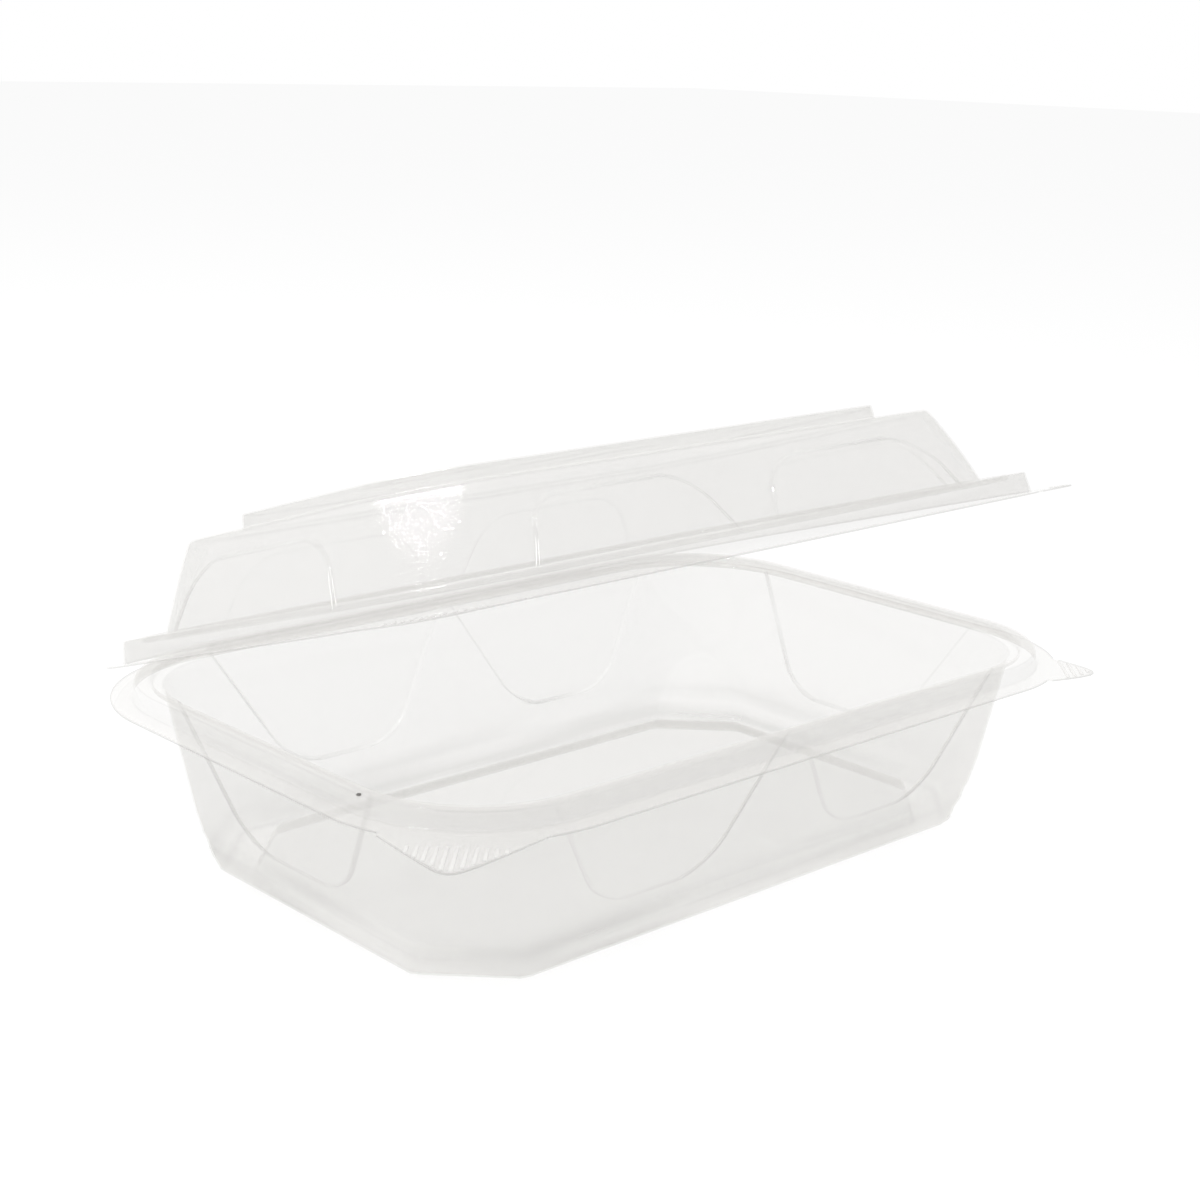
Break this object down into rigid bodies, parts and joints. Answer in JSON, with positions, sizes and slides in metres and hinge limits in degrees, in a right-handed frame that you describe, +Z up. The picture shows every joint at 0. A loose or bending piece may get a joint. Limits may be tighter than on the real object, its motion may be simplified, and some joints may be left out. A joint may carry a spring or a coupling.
{
  "type": "plastic clamshell pack",
  "caption": "Clear thermoformed clamshell food pack: tapered tray with raised floor, domed lid on a living hinge, standing ajar, ribbed pull tabs at the front corners.",
  "frame": {"origin": "middle of the underside, on the surface that the pack stands on", "axes": "X along the long sides, +X to the right of the opening side; -Y towards the opening side with the pull tabs, +Y towards the hinge; Z up. The lid stands 17.8 degrees open at rest."},
  "size_m": [0.198, 0.1398, 0.0956],
  "materials": {
    "clear_sheet": "glossy"
  },
  "bodies": {
    "tray": {"tray": "clear_sheet", "living_hinge": "clear_sheet"},
    "lid": {"lid": "clear_sheet"}
  },
  "joints": [
    {"name": "lid_hinge", "type": "hinge", "parent": "tray", "child": "lid", "pos_m": [0, 0.0687, 0.0379], "axis": [-1, 0, 0], "range_deg": [-17.8, 162.2], "deforming": ["living_hinge"]}
  ]
}
